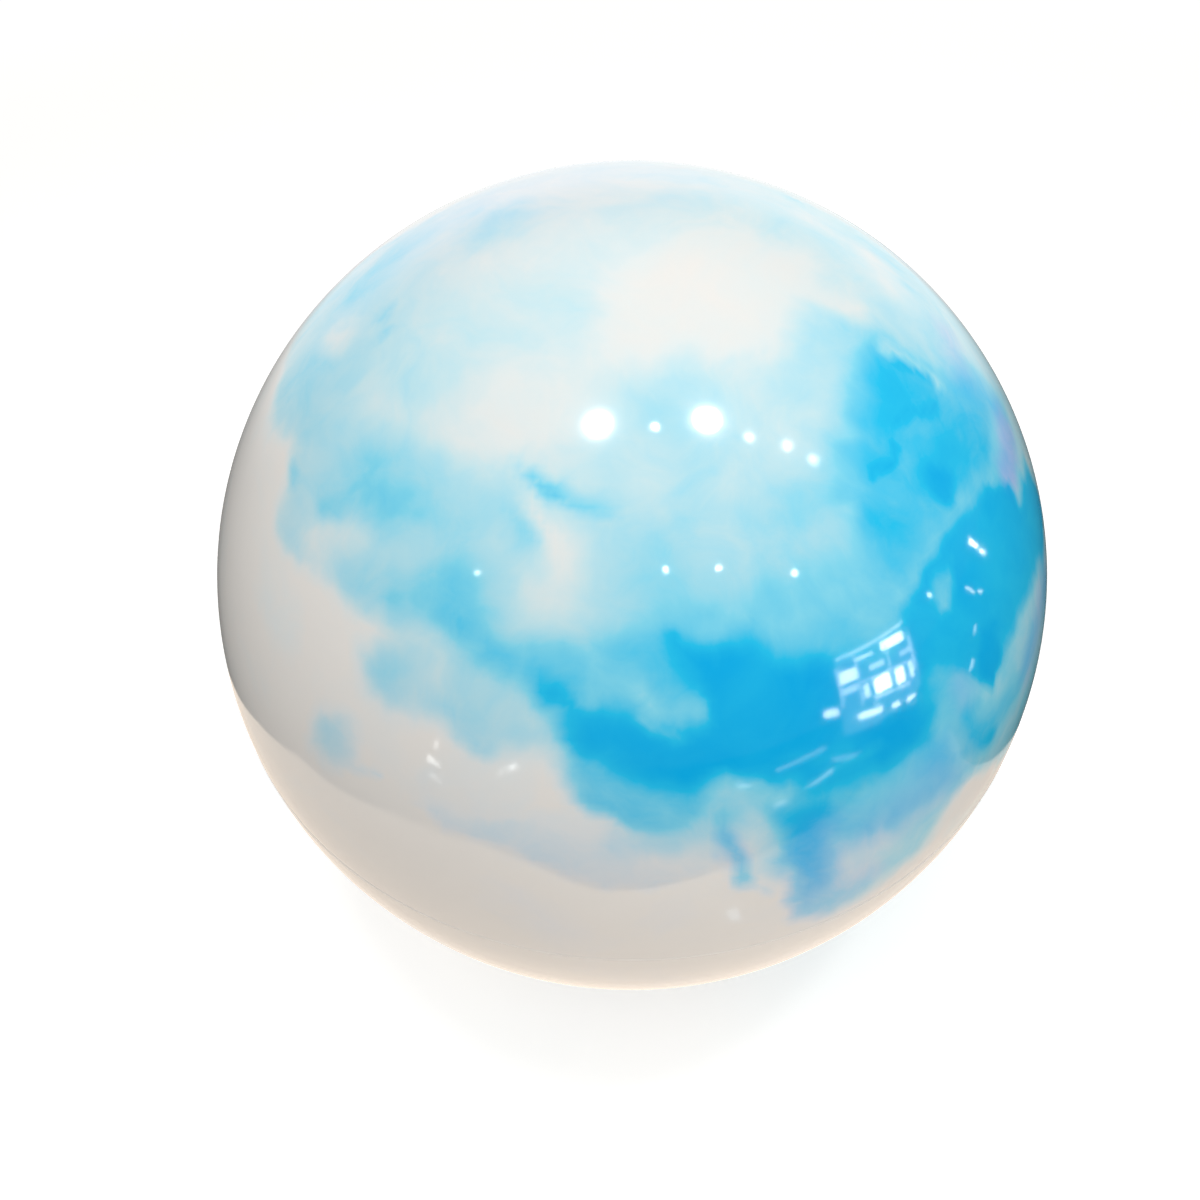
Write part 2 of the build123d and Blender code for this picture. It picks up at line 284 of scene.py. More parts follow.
# Each pour: tone from 0, white, to 1, deepest blue; how much it covers; the feather of its edge in
# degrees; a half width in degrees for a streak, or None for a pool; then azimuths and elevations.
POURS = [
    # the far side: a second swirl like the front one, over a pale wash
    (0.34, 1.0, 8.0, None, (98, 34), (104, 44), (116, 54), (135, 58), (165, 55), (190, 60), (225, 52),
     (250, 48), (262, 36), (256, 27), (246, 21), (238, 29), (228, 25), (222, 16), (212, 19), (204, 28),
     (190, 25), (180, 34), (168, 26), (158, 23), (148, 10), (136, 13), (128, 5), (118, 14), (110, 17),
     (106, 28)),
    (0.10, 0.8, 8.0, None, (150, 50), (175, 53), (186, 43), (165, 39)),
    (0.30, 0.8, 10.0, 4.0, (84, 34), (100, 36)),
    (0.24, 0.8, 10.0, 5.0, (82, 12), (98, 6), (116, 9)),
    (0.16, 0.8, 10.0, 4.0, (104, -4), (126, -8), (150, -3)),
    (0.48, 0.9, 8.0, None, (104, 40), (112, 48), (128, 52), (142, 47), (152, 38), (172, 36), (176, 29),
     (162, 18), (146, 10), (132, 14), (120, 20), (110, 28)),
    (0.64, 0.9, 5.0, None, (110, 36), (122, 45), (136, 42), (146, 36), (168, 34), (170, 28), (158, 22),
     (146, 16), (130, 20), (118, 27)),
    (0.92, 1.0, 4.0, None, (114, 34), (119, 37), (124, 41), (131, 40), (135, 36), (141, 35), (147, 31),
     (156, 31), (163, 33), (169, 31), (166, 27), (160, 26), (156, 21), (150, 19), (146, 15), (141, 17),
     (138, 21), (130, 21), (125, 26), (118, 28)),
    (0.60, 0.8, 3.0, 0.9, (128, 36), (134, 31), (143, 28), (150, 24)),
    (0.44, 0.8, 3.0, 0.9, (120, 31), (126, 30.5), (131, 27)),
    (0.76, 0.7, 3.0, 1.0, (148, 28), (160, 29.5)),
    (0.98, 0.8, 2.5, 0.8, (134, 24), (142, 21), (149, 21)),
    (0.60, 0.9, 4.0, 1.6, (170, 30), (178, 33), (187, 33), (195, 29), (204, 32)),
    (0.80, 0.8, 2.4, 0.7, (186, 33), (194, 29.6), (201, 30.5)),
    (0.60, 0.9, 2.6, 1.3, (140, 18), (142, 10), (147, 2)),
    (0.42, 0.9, 3.0, 1.6, (148, 17), (155, 8), (156, 4)),
    (0.16, 0.8, 2.4, 0.8, (146, 15), (151, 8)),
    (0.28, 0.8, 8.0, 3.0, (205, 12), (222, 3), (240, 9)),
    (0.42, 0.8, 4.0, 1.2, (214, 8), (224, 4), (232, 6)),
    (0.56, 0.9, 6.0, 2.8, (226, 41), (238, 42), (248, 36)),
    (0.84, 0.9, 3.0, 1.0, (228, 40), (233, 38), (241, 39), (246, 36)),
    (0.08, 0.8, 6.0, 2.5, (209, 39), (216, 45)),
    (0.10, 0.8, 4.0, 1.5, (196, 22), (206, 16), (214, 20)),
    # the underside
    (0.34, 0.9, 9.0, None, (10, -26), (60, -20), (98, -32), (122, -50), (80, -66), (30, -55)),
    (0.72, 0.9, 5.0, 2.5, (48, -36), (72, -40), (98, -50)),
    (0.92, 0.9, 3.0, 1.2, (58, -38), (76, -42), (90, -47)),
    (0.10, 0.8, 4.0, 2.0, (60, -52), (84, -56)),
    (0.30, 0.8, 8.0, 5.0, (-120, -26), (-155, -36), (-190, -32)),
    (0.52, 0.8, 6.0, 2.5, (-150, -46), (-122, -58), (-80, -62)),
    (0.30, 0.8, 6.0, 3.0, (-70, -30), (-40, -36)),
    # the pale blue that covers the upper front
    (0.34, 1.0, 4.5, None, (-105, 51), (-90, 46), (-75, 43.5), (-70, 43), (-65, 44.5), (-61, 45.8),
     (-58, 44.2), (-56, 42), (-54, 39), (-50, 38), (-45, 37.5), (-40, 38), (-30, 38.5), (-20, 37.5),
     (-15, 37), (-8, 33), (-7.5, 29.5), (-5.5, 25), (0, 22), (6, 20), (12, 21), (20, 21), (28, 18),
     (34, 14), (40, 18), (44, 13), (52, 8), (59, 3), (66, 8), (73, 4), (77, 13), (86, 12), (90, 24),
     (87, 33), (97, 41), (101, 52), (112, 60), (140, 70), (180, 74), (-140, 72), (-115, 62)),
    (0.40, 0.8, 7.0, 3.5, (-96, 50), (-80, 50.5), (-68, 50), (-58, 51), (-46, 50)),
    (0.42, 0.7, 5.0, 2.5, (-90, 59), (-86, 59)),
    (0.44, 0.6, 5.0, 2.0, (-75, 51), (-70, 50)),
    (0.40, 0.6, 6.0, 2.5, (-62, 54), (-52, 56)),
    # the top, nearly white, with faint veils
    (0.16, 0.9, 14.0, None, (-110, 66), (-80, 66), (-50, 62), (-20, 65), (5, 66), (20, 64), (45, 65),
     (75, 66), (100, 66), (130, 66), (170, 66), (-150, 66)),
    (0.38, 0.9, 6.0, 3.0, (-97, 75.5), (-84, 75)),
    (0.20, 0.8, 6.0, 2.5, (-50, 72), (-30, 76)),
    (0.22, 0.8, 6.0, 2.5, (-14, 71), (-4, 71), (4, 68)),
    (0.22, 0.7, 9.0, 3.0, (150, 80), (120, 78), (100, 74)),
    (0.10, 0.85, 10.0, None, (-50, 56), (-40, 57.5), (-32, 61), (-30, 66), (-15, 67), (-6, 65), (-4, 60.5),
     (-9, 57.5), (-16, 56), (-24, 54.5), (-32, 54), (-40, 54), (-48, 54)),
    (0.03, 0.95, 8.0, None, (-5, 69), (-10, 74), (-5, 79), (25, 81), (50, 79), (70, 76), (76, 71), (66, 69),
     (54, 69.5), (46, 68), (36, 66), (22, 66), (14, 68), (6, 66.5)),
    (0.10, 0.9, 6.0, 2.5, (86, 61.5), (92, 61.5)),
    (0.04, 0.7, 4.0, 1.5, (60, 67), (66, 64)),
    (0.24, 0.8, 5.0, 2.0, (90, 72), (112, 71)),
    (0.34, 0.7, 1.5, 0.5, (118, 68.5), (121, 66)),
    (0.36, 0.7, 1.5, 0.7, (90, 57.5), (103, 55)),
    (0.08, 0.8, 4.0, 1.8, (3, 58), (5, 52.5)),
    (0.10, 0.8, 4.0, 1.8, (-77, 55), (-74, 56)),
    (0.46, 0.8, 1.6, 0.6, (-71, 62), (-69, 61.5)),
    (0.46, 0.8, 1.6, 0.6, (-64, 61), (-63, 60.5)),
    # the clouds of the left half
    (0.46, 0.9, 8.0, 4.5, (-43, 49.5), (-33, 49.8)),
    (0.60, 0.9, 5.0, 2.0, (-41, 49), (-36, 49.5)),
    (0.50, 0.8, 2.0, 0.8, (-47, 44.5), (-44, 44.5)),
    (0.46, 0.9, 1.6, 0.7, (-59, 45), (-56.5, 44.2)),
    (0.22, 0.8, 4.0, 2.0, (-54, 41), (-46, 41)),
    (0.20, 0.7, 4.0, 1.5, (-44, 42.5), (-38, 43.5)),
    (0.40, 0.8, 4.0, None, (-41, 42), (-30, 44), (-28, 38.5), (-41, 38.5)),
    (0.52, 0.8, 2.0, 0.7, (-31, 41), (-30, 41)),
    (0.38, 0.9, 5.0, 3.0, (-30, 47), (-26, 45), (-24, 52)),
    (0.50, 0.9, 5.5, None, (-26, 45), (-20, 45.5), (-18, 44), (-11, 41.5), (-4, 41), (-4, 37), (-12, 37.5),
     (-22, 38.2), (-29, 39.5)),
    (0.62, 0.85, 5.0, 1.4, (-23.2, 43.5), (-22.8, 42), (-20, 40.3)),
    (0.62, 0.9, 3.0, 0.9, (-20, 39.8), (-15, 38.8), (-8, 38)),
    (0.48, 0.8, 3.0, 1.3, (-17, 51), (-15, 50)),
    (0.28, 0.85, 6.0, None, (-18, 45), (-14, 48), (-11, 52), (-4, 51), (-2, 46), (-6, 42.5), (-14, 42.5)),
    (0.10, 0.8, 2.5, 0.9, (-15, 53), (-12, 51.5), (-10.5, 49.5)),
    (0.08, 0.85, 4.5, 1.3, (-10, 49.8), (-8.5, 48.2)),
    (0.14, 0.7, 3.0, 0.8, (-13, 45.6), (-8, 45)),
    (0.50, 0.8, 4.0, None, (-14, 39.5), (-8, 41), (0, 41.5), (4, 41), (4, 36), (-5, 36.5), (-12, 37)),
    (0.42, 0.9, 2.0, 0.4, (-18, 56.5), (-14, 55.6)),
    (0.70, 0.95, 2.0, 0.9, (-13, 55.4), (-9, 54.5), (-2.5, 53.9)),
    (0.40, 0.8, 2.5, 0.9, (-9, 55), (-2, 54.3), (4, 53.4)),
    (0.74, 0.9, 3.0, 1.1, (-17, 38.6), (-12, 37.8), (-8, 36.6)),
    (0.95, 1.0, 4.2, None, (-16.5, 38.2), (-10, 37.4), (-5, 36.2), (0, 34.8), (4, 33.8), (4, 29), (0, 30.2),
     (-4, 31), (-8, 33.2), (-11, 35.4)),
    (0.70, 0.9, 4.0, None, (-9, 34), (-3, 31.3), (4, 31), (8, 27), (6, 23.5), (0, 22.5), (-5.5, 25),
     (-7.5, 29.5)),
    # thin veils under the shore, and the spot to their left
    (0.33, 0.95, 5.0, None, (-32, 34.5), (-28, 38.5), (-18, 39.5), (-12, 38), (-8, 33.5), (-8, 30),
     (-13, 29.3), (-18, 28.7), (-24, 29.7), (-31, 30.5)),
    (0.38, 0.8, 5.0, 1.2, (-28, 32.8), (-26, 34)),
    (0.43, 0.8, 3.0, 0.8, (-22, 32.2), (-20, 31.6)),
    (0.42, 0.7, 2.5, 0.5, (-19.5, 29.6), (-15, 29.8)),
    (0.26, 0.95, 4.0, None, (-38.3, 20), (-38.2, 22.5), (-36.5, 26.2), (-33.5, 26.4), (-31, 23.8),
     (-31.5, 20.8), (-35.5, 18.8)),
    (0.24, 0.8, 1.6, 0.4, (-33, 20.3), (-27.5, 21.5)),
    (0.10, 0.8, 5.0, 2.5, (-53, 32.5), (-46, 31)),
    (0.19, 0.9, 2.0, None, (-22.5, 20), (-20, 17.8), (-16, 18.6), (-12, 19), (-10.5, 17.2), (-7, 15.5),
     (-3, 14.2), (1, 14.2), (9, 16), (10, 22), (0, 23), (-8, 24), (-15, 22), (-21, 22)),
    (0.10, 0.8, 4.0, 3.0, (-20, 24), (-12, 26)),
    (0.10, 0.6, 5.0, 3.0, (-14, 10), (-8, 6)),
    # the deep pool in the middle
    (0.56, 0.95, 5.0, None, (-8, 38.5), (-2, 42), (6, 42), (10, 39), (9, 33), (2, 32), (-5, 34)),
    (0.30, 0.8, 6.0, None, (-2, 60), (36, 61), (38, 54), (24, 52), (-2, 52)),
    (0.40, 0.9, 6.0, None, (0, 52), (24, 53), (38, 56), (40, 42), (16, 41), (2, 43)),
    (0.54, 0.9, 5.0, None, (4, 43.5), (16, 44.5), (28, 45.5), (37, 46), (40, 36), (24, 33), (14, 38)),
    (0.62, 0.85, 4.0, None, (17, 38), (20, 40.5), (28, 40.5), (36, 41), (38, 36), (24, 34)),
    (0.94, 1.0, 4.4, None, (5.0, 41.4), (7, 40.2), (10, 40.1), (13, 40.4), (15.6, 40.6), (16.5, 39.5),
     (18, 38.2), (22, 37.2), (25, 36), (30, 35.5), (35, 36), (36.5, 38), (40, 36), (41, 30), (39.5, 26),
     (34, 22.8), (28, 21.8), (20, 22), (17, 23), (14, 25), (10, 26), (6, 26), (2, 27.5), (-3, 29.5),
     (-6, 32), (-2, 35), (3, 33.2), (8, 34), (7, 37.5)),
    (0.42, 0.7, 2.4, 0.8, (1.5, 37.5), (5, 35.3), (8, 34.3)),
    (0.60, 0.8, 2.0, 0.7, (2.5, 39.5), (5.5, 36.2), (7.3, 34.6)),
    (0.55, 0.8, 2.0, 0.5, (2.5, 34), (6, 32)),
    (0.80, 0.6, 1.6, 0.5, (14, 27), (18, 28), (24, 27)),
    (0.72, 0.6, 1.6, 0.6, (18, 23.8), (22, 25.2), (28, 25.6)),
    (0.66, 0.9, 4.5, 1.8, (2, 24.6), (10, 24.5), (15, 23)),
    (0.84, 0.85, 4.0, 1.8, (17, 22), (28, 21.6), (36, 22.5)),
    (0.40, 0.8, 4.0, 1.8, (0, 20.5), (6, 21.5), (12, 21.5)),
    (0.14, 0.8, 4.0, 1.5, (2, 17.5), (8, 18)),
    # the tongues that run down from it, their blue deepened in part as painted shade where they lie low
    (0.46, 0.9, 4.0, None, (8.5, 27), (18, 25.5), (18, 20.5), (14.5, 18.5), (10, 21)),
    (0.62, 0.95, 5.0, None, (15, 23), (20, 22), (40, 21.5), (43, 14), (36, 8), (28, 12.5), (22, 9),
     (18, 12), (15, 17)),
    (0.70, 0.85, 5.0, 2.2, (19, 20.5), (28, 19.5), (37, 20.5)),
    (0.58, 0.95, 2.2, 1.2, (10.4, 22.5), (10.8, 19.5), (11.6, 17), (12.7, 14.2)),
    (0.26, 0.9, 2.0, 0.7, (12.7, 13.5), (15, 11.5)),
    (0.34, 0.85, 3.0, 1.2, (13.4, 21), (14.5, 17), (16.2, 14)),
    (0.76, 0.95, 3.6, None, (15, 22), (20.5, 23), (22.5, 19), (22, 15), (22.7, 10), (21.5, 7.5),
     (19.5, 6.5), (18, 8), (17.6, 12), (16.8, 16)),
    (0.50, 0.9, 4.0, None, (17.2, 9.5), (25.5, 9.5), (27, 5), (23, 2.5), (19, 3.5)),
    (0.60, 0.85, 4.0, 2.4, (23, 18.5), (30, 18)),
    (0.68, 0.8, 1.8, 0.6, (27.5, 18.3), (29, 17.5)),
    (0.52, 0.85, 6.0, 3.0, (30, 17), (36, 16), (39, 15)),
    (0.30, 0.85, 6.0, 2.6, (25, 11.5), (31, 10)),
    (0.30, 0.7, 4.0, 2.0, (33, 12), (37, 12)),
    (0.44, 0.9, 7.0, 3.5, (24, 5), (34, 7)),
    # the right side: brighter blue above, the dome, and the deeper blue under it
    (0.70, 1.0, 7.0, None, (34, 43), (34, 50), (38, 55), (42, 58), (50, 60.5), (58, 60.5), (66, 59),
     (73, 53), (80, 46), (82, 40), (66, 40), (50, 41), (40, 41)),
    (0.44, 0.8, 8.0, 2.0, (36, 61), (46, 63), (55, 64)),
    (0.77, 0.9, 6.0, 2.6, (47, 54), (55, 55), (62, 53)),
    (0.76, 0.8, 3.0, 1.2, (37, 47), (44, 46), (58, 47)),
    (0.92, 0.95, 2.0, 1.7, (50.5, 45.5), (52, 45)),
    (0.92, 0.9, 1.3, 0.5, (41, 49.8), (44, 50.6), (47, 51)),
    (0.90, 0.9, 1.3, 0.5, (56, 52), (61, 51)),
    (0.88, 0.9, 1.3, 0.5, (51, 53), (55.5, 52.6)),
    (0.32, 0.9, 1.8, 0.7, (61, 59.4), (63.7, 56.8), (66, 54.4), (67.4, 52)),
    (0.86, 0.9, 1.4, 0.6, (61.4, 57.3), (64.3, 55.2), (66.4, 52.6)),
    (0.40, 0.7, 5.0, 3.0, (70, 60), (76, 53)),
    (0.66, 0.95, 4.0, 2.6, (38.5, 28), (41.5, 21)),
    (0.84, 1.0, 2.2, None, (35, 36), (37.5, 38.5), (40, 39.8), (43, 40.7), (50, 41.4), (55, 40.8),
     (59.5, 41), (63, 39.5), (65.7, 37), (66.8, 34), (67.3, 31), (67.3, 27), (60, 25), (55, 25), (51, 24),
     (46.7, 21.8), (44.5, 24), (42.5, 27), (40, 30), (36, 32)),
    (0.56, 0.95, 2.0, None, (40.8, 37.5), (43, 39.2), (45, 38.5), (45.6, 36.5), (44, 35.3), (42, 35.3)),
    (0.44, 0.9, 3.5, None, (64.5, 40.5), (68, 42.5), (74, 43), (80, 38), (72, 33), (69, 34), (67.5, 37)),
    (0.80, 0.95, 3.0, None, (63, 33), (70, 34), (77, 34), (79, 26), (70, 23), (63, 25)),
    (0.48, 0.9, 4.0, None, (50, 25), (56, 26), (66, 26), (74, 22), (72, 8), (60, 1), (54, 4), (48, 8),
     (43, 12), (39.5, 18), (40, 22), (45, 23)),
    (0.56, 0.7, 5.0, 2.0, (56, 20), (66, 20)),
    (0.80, 0.8, 3.0, 1.2, (42, 21.5), (43, 18.5), (46, 15.5)),
    (0.56, 0.7, 4.0, 1.6, (46, 18), (52, 16)),
    (0.98, 0.9, 1.8, None, (47, 31), (50.5, 29), (50, 25), (47, 21.8), (45.2, 25)),
    (0.56, 0.8, 2.4, 1.2, (41.8, 27), (42, 24)),
    (0.12, 0.9, 4.0, 1.5, (42, 4), (48, 1)),
]
# the same for violet, from 0 to 1, over the blue: partly the vinyl's own violet tint, partly painted
# shade that darkens the blue low on the front
VIOLET_AND_PAINTED_SHADE = [
    (0.50, 0.9, 9.0, 3.0, (27, 15), (38, 15), (36, 18)),
    (0.45, 0.8, 3.0, 1.5, (41.5, 27), (42, 24)),
    (0.40, 0.9, 2.0, 1.2, (10.4, 21), (11.5, 17)),
    (0.55, 0.9, 4.0, 2.8, (20, 18), (20.5, 8)),
    (0.9, 1.0, 3.5, 2.5, (68, 38), (76, 40)),
    (0.6, 0.8, 6.0, 3.0, (58, 18), (64, 21), (68, 21)),
    (0.5, 0.8, 5.0, 2.0, (76, 49), (82, 51)),
    (0.40, 0.8, 4.0, 3.0, (22, 5), (26, 7)),
]


def poured(ways, pours, ground):
    """Tone in each direction once the pours have run, one after another, over the ground."""
    tone = ground.copy()
    for level, cover, feather, half_width, *path in pours:
        if half_width is None:
            mask = pool(ways, feather, path)
        else:
            mask = stroke(ways, half_width, feather, path)
        tone += (level - tone) * cover * mask
    return tone


def swirled(ways):
    """The directions pushed about in big and small eddies, so that no edge is a clean curve."""
    moved = ways.copy()
    for fineness, push, seed in ((11, 0.15, 3), (34, 0.3, 4), (90, 0.22, 5), (190, 0.1, 6)):
        moved += np.radians(push) * ripples(ways, fineness, seed)
    return moved / np.linalg.norm(moved, axis=1, keepdims=True)


def free_clouds(ways):
    """Soft clouds for the far side and the underside, under the pours there."""
    drift = ripples(ways + 0.35 * ripples(ways, 2.2, 21), 4.0, 22)
    heavy = smooth((drift[:, 0] + 0.15) / 1.9)
    thin = smooth((drift[:, 1] + 0.4) / 2.6)
    return 0.85 * heavy**1.5 + 0.16 * thin


moved = swirled(points / np.linalg.norm(points, axis=1, keepdims=True))
far_or_low = smooth((moved[:, 1] + 0.05) / 0.35) + smooth((-0.02 - moved[:, 2]) / 0.25)
dye = poured(moved, POURS, 0.45 * free_clouds(moved) * np.clip(far_or_low, 0, 1))
violet = poured(moved, VIOLET_AND_PAINTED_SHADE, 0.25 * smooth(ripples(moved, 3, 31)[:, 0]))
rounding = 0.00001
outside = (np.linalg.norm(points, axis=1) > ball_radius - rounding).astype(float)

skin_mesh = bpy.data.meshes.new("marbled_skin")
skin_mesh.from_pydata([tuple(p) for p in points + np.array(ball_centre)], [], [tuple(f) for f in faces])
for name, values in (("dye", dye), ("violet", violet), ("outside", outside)):
    layer = skin_mesh.attributes.new(name, "FLOAT", "POINT")
    layer.data.foreach_set("value", values.astype(np.float32))
skin_shape = bpy.data.objects.new("skin_shape", skin_mesh)
bpy.context.scene.collection.objects.link(skin_shape)


def join(tree, value, socket):
    """Link another node's output to a socket, or set the socket to a plain value."""
    if isinstance(value, bpy.types.NodeSocket):
        tree.links.new(value, socket)
    elif value is not None:
        socket.default_value = value


def math_node(tree, operation, *values):
    """A Math node's result; each value is a number or another node's output."""
    made = tree.nodes.new("ShaderNodeMath")
    made.operation = operation
    for value, socket in zip(values, made.inputs):
        join(tree, value, socket)
    return made.outputs[0]


def vector_node(tree, operation, first, second=None, scale=None):
    """A Vector Math node's result, from values as for math_node."""
    made = tree.nodes.new("ShaderNodeVectorMath")
    made.operation = operation
    join(tree, first, made.inputs[0])
    join(tree, second, made.inputs[1])
    if scale is not None:
        join(tree, scale, made.inputs["Scale"])
    return made.outputs["Value" if operation == "LENGTH" else "Vector"]


def axes(tree, vector):
    """A vector's X, Y and Z."""
    made = tree.nodes.new("ShaderNodeSeparateXYZ")
    tree.links.new(vector, made.inputs[0])
    return made.outputs


def noise(tree, vector, scale, detail, roughness=0.5):
    """A Noise node's outputs: a value that swings about 0.5, and a colour of three of them."""
    made = tree.nodes.new("ShaderNodeTexNoise")
    for name, value in (("Vector", vector), ("Scale", scale), ("Detail", detail), ("Roughness", roughness)):
        join(tree, value, made.inputs[name])
    return made.outputs


def fade(tree, value, start, end, low=0.0, high=1.0, eased=True):
    """A Map Range node's result: low where the value is at the start, high where it is at the end."""
    made = tree.nodes.new("ShaderNodeMapRange")
    if eased:
        made.interpolation_type = "SMOOTHSTEP"
    for socket, given_value in zip(made.inputs, (value, start, end, low, high)):
        join(tree, given_value, socket)
    return made.outputs[0]


def mixed(tree, factor, first, second, blend="MIX"):
    """Two colours mixed, or one laid over the other, by a factor from 0 to 1."""
    made = tree.nodes.new("ShaderNodeMix")
    made.data_type = "RGBA"
    made.blend_type = blend
    for socket, value in ((0, factor), (6, first), (7, second)):
        join(tree, value, made.inputs[socket])
    return made.outputs[2]


def colour_ramp(tree, value, stops):
    """A value turned into a colour by a ramp's stops, each a place and a colour."""
    made = tree.nodes.new("ShaderNodeValToRGB")
    while len(made.color_ramp.elements) < len(stops):
        made.color_ramp.elements.new(0.5)
    for element, (position, colour) in zip(made.color_ramp.elements, stops):
        element.position = position
        element.color = (*colour, 1)
    tree.links.new(value, made.inputs["Fac"])
    return made.outputs["Color"]


def node_group(name, kind, inputs, outputs):
    """A node group with named sockets, and the sockets that carry them inside it."""
    made = bpy.data.node_groups.new(name, kind)
    for direction, sockets in (("INPUT", inputs), ("OUTPUT", outputs)):
        for socket_name, socket_kind, *value in sockets:
            socket = made.interface.new_socket(
                socket_name, in_out=direction, socket_type="NodeSocket" + socket_kind
            )
            if value:
                socket.default_value = value[0]
    given = made.nodes.new("NodeGroupInput").outputs
    return made, given, made.nodes.new("NodeGroupOutput").inputs


# A finish that all three vinyls share: fine orange peel, and faint dull patches from handling
grain, given, given_back = node_group("vinyl_grain", "ShaderNodeTree", (
    ("Vector", "Vector"), ("Gloss Roughness", "Float", 0.06), ("Dull Roughness", "Float", 0.12),
    ("Patch Scale", "Float", 9.0), ("Peel Scale", "Float", 500.0), ("Peel Depth", "Float", 0.5),
), (("Roughness", "Float"), ("Height", "Float")))
patches = noise(grain, given["Vector"], given["Patch Scale"], 4)[0]
dulling = fade(grain, patches, 0.45, 0.8, given["Gloss Roughness"], given["Dull Roughness"])
grain.links.new(dulling, given_back["Roughness"])
peel = noise(grain, given["Vector"], given["Peel Scale"], 2)[0]
grain.links.new(math_node(grain, "MULTIPLY", peel, given["Peel Depth"]), given_back["Height"])


def vinyl(name, ior):
    """A material with the shared grain already on its roughness and its bump."""
    made = bpy.data.materials.new(name)
    made.use_nodes = True
    tree = made.node_tree
    shader = tree.nodes["Principled BSDF"]
    shader.inputs["IOR"].default_value = ior
    place = tree.nodes.new("ShaderNodeTexCoord").outputs["Object"]
    its_grain = tree.nodes.new("ShaderNodeGroup")
    its_grain.node_tree = grain
    tree.links.new(place, its_grain.inputs["Vector"])
    tree.links.new(its_grain.outputs["Roughness"], shader.inputs["Roughness"])
    peel_rise = 0.00001
    bump = tree.nodes.new("ShaderNodeBump")
    bump.inputs["Distance"].default_value = peel_rise
    tree.links.new(its_grain.outputs["Height"], bump.inputs["Height"])
    tree.links.new(bump.outputs[0], shader.inputs["Normal"])
    return made, tree, shader, place, its_grain


marbled, tree, shader, place, _ = vinyl("marbled_vinyl", 1.53)
dye_read = tree.nodes.new("ShaderNodeAttribute")
dye_read.attribute_name = "dye"
dye_read = dye_read.outputs["Fac"]
violet_read = tree.nodes.new("ShaderNodeAttribute")
violet_read.attribute_name = "violet"
violet_read = violet_read.outputs["Fac"]
# the wisps are strongest where the dye is half spread, and faint in the white and the deep blue
warp = vector_node(tree, "SUBTRACT", noise(tree, place, 9, 3)["Color"], (0.5, 0.5, 0.5))
warped = vector_node(tree, "ADD", place, vector_node(tree, "SCALE", warp, scale=0.16))
wisp = math_node(tree, "SUBTRACT", noise(tree, warped, 16, 7, 0.55)[0], 0.5)
spread = math_node(tree, "MULTIPLY", dye_read, math_node(tree, "SUBTRACT", 1.15, dye_read))
wispiness = math_node(tree, "ADD", spread, 0.22)
tone = math_node(tree, "MULTIPLY_ADD", wisp, wispiness, dye_read)
# from bare white vinyl to the deepest blue
dyed = colour_ramp(tree, tone, (
    (0.0, (0.92, 0.895, 0.855)), (0.12, (0.84, 0.905, 0.90)), (0.27, (0.62, 0.87, 0.93)),
    (0.5, (0.25, 0.76, 0.95)), (0.75, (0.02, 0.60, 0.95)), (1.0, (0.0, 0.46, 0.92)),
))
# violet, which is partly painted shade, shows only where there is some blue under it
has_blue = math_node(tree, "MINIMUM", math_node(tree, "MULTIPLY", tone, 4.0), 1.0)
violet_and_shade_amount = math_node(tree, "MULTIPLY", violet_read, has_blue)
dyed = mixed(tree, violet_and_shade_amount, dyed, (1.15, 0.72, 1.0, 1), "MULTIPLY")
# the parting ridge is painted paler than the marbling beside it: partly bare vinyl, partly a painted
# highlight where light catches the ridge
off_ridge = math_node(tree, "ABSOLUTE", math_node(tree, "SUBTRACT", axes(tree, place)["Z"], ball_centre.z))
ridge_paleness_and_highlight = fade(tree, off_ridge, 0.75 * parting_width, 0.4 * parting_width, 0.0, 0.9, eased=False)
tree.links.new(mixed(tree, ridge_paleness_and_highlight, dyed, (1.0, 0.97, 0.93, 1)), shader.inputs["Base Color"])

# Relief: the parting ridge, a slight unevenness of the blown skin, and the resting flat
relief, given, given_back = node_group("skin_relief", "GeometryNodeTree", (
    ("Geometry", "Geometry"), ("Centre", "Vector"), ("Parting Height", "Float"), ("Parting Width", "Float"),
    ("Swell", "Float"), ("Swell Size", "Float"), ("Floor", "Float"), ("Thickness", "Float"),
    ("Material", "Material"),
), (("Geometry", "Geometry"),))
place = relief.nodes.new("GeometryNodeInputPosition").outputs[0]
is_outside = relief.nodes.new("GeometryNodeInputNamedAttribute")
is_outside.data_type = "FLOAT"
is_outside.inputs["Name"].default_value = "outside"
is_outside = is_outside.outputs[0]
arm = vector_node(relief, "SUBTRACT", place, given["Centre"])
# the ridge is a parabola across its width
half_width = math_node(relief, "MULTIPLY", given["Parting Width"], 0.5)
off_line = math_node(relief, "ABSOLUTE", math_node(relief, "DIVIDE", axes(relief, arm)["Z"], half_width))
ridge = math_node(relief, "SUBTRACT", 1.0, math_node(relief, "POWER", off_line, 2.0))
ridge = math_node(relief, "MULTIPLY", math_node(relief, "MAXIMUM", ridge, 0.0), given["Parting Height"])
# the blown skin swells and sinks a little from place to place
swell = noise(relief, arm, math_node(relief, "DIVIDE", 1.0, given["Swell Size"]), 1)[0]
swell = math_node(relief, "MULTIPLY", math_node(relief, "SUBTRACT", swell, 0.5), given["Swell"])
lift = math_node(relief, "MULTIPLY", math_node(relief, "ADD", ridge, swell), is_outside)
lift = vector_node(relief, "SCALE", vector_node(relief, "NORMALIZE", arm), scale=lift)
raised = relief.nodes.new("GeometryNodeSetPosition")
relief.links.new(given["Geometry"], raised.inputs["Geometry"])
relief.links.new(lift, raised.inputs["Offset"])
